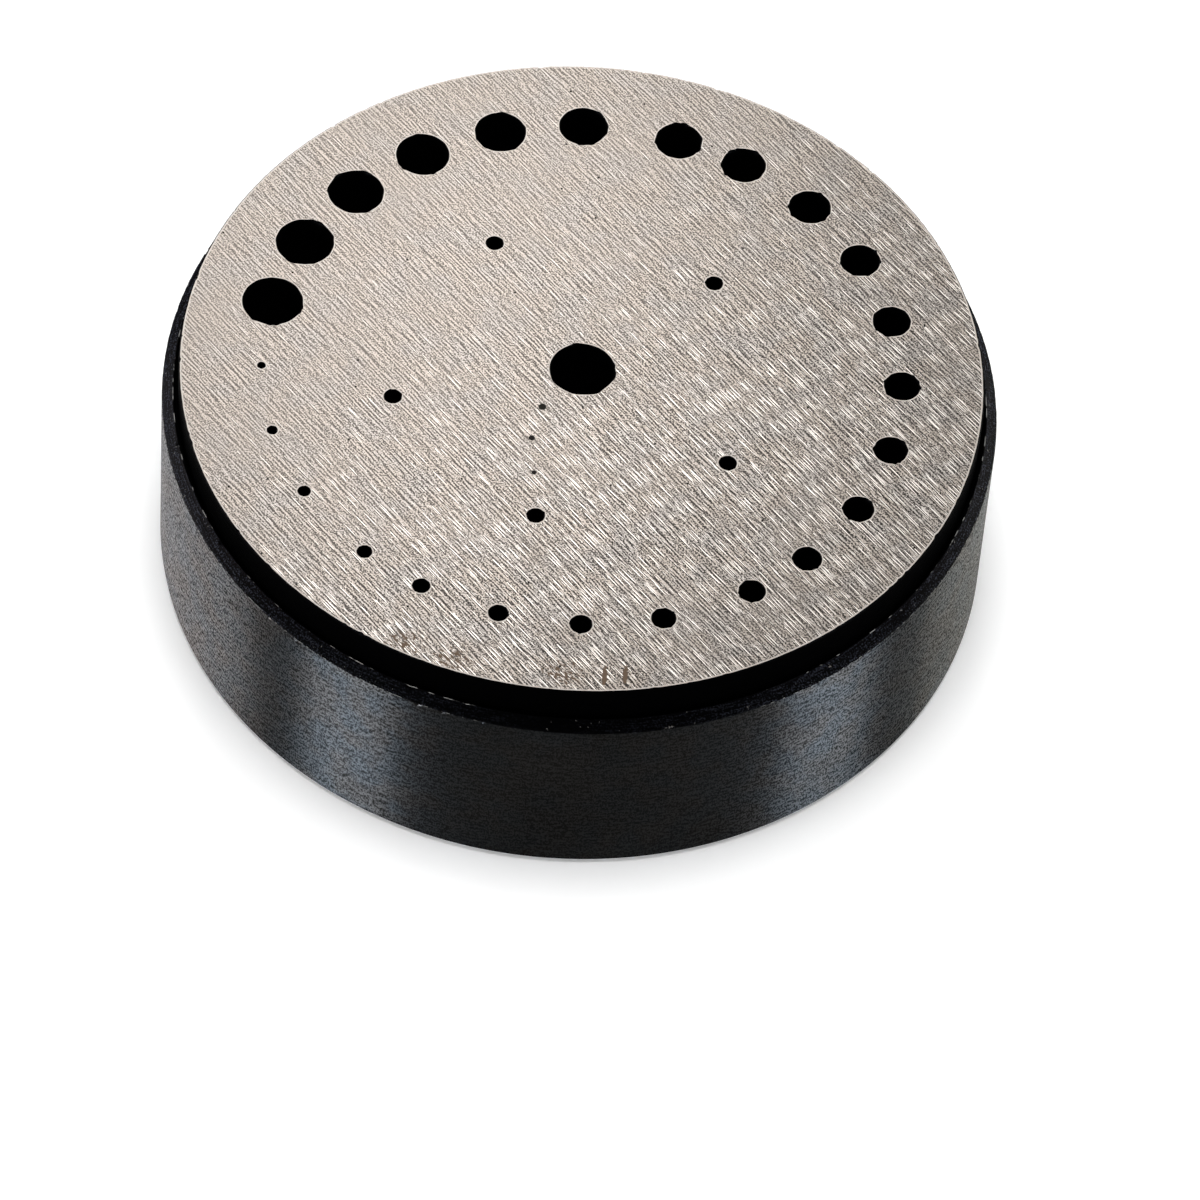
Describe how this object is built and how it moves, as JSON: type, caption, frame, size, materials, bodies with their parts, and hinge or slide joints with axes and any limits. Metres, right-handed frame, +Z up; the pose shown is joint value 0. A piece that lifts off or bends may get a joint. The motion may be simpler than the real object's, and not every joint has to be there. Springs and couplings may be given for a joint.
{
  "type": "riveting stake block",
  "caption": "Round riveting stake: a ground steel disc with holes graded in size, set in a blackened steel base with an open bore below.",
  "frame": {"origin": "centre of the foot, on the surface that the block stands on", "axes": "+Z up along the axis of the turned parts, +Y away from the picture's camera"},
  "size_m": [0.058, 0.058, 0.018],
  "materials": {
    "black_oxide": "satin black oxide",
    "ground_steel": "surface ground"
  },
  "bodies": {
    "root": {"base_ring": "black_oxide", "stake_disc": "ground_steel"}
  },
  "joints": []
}
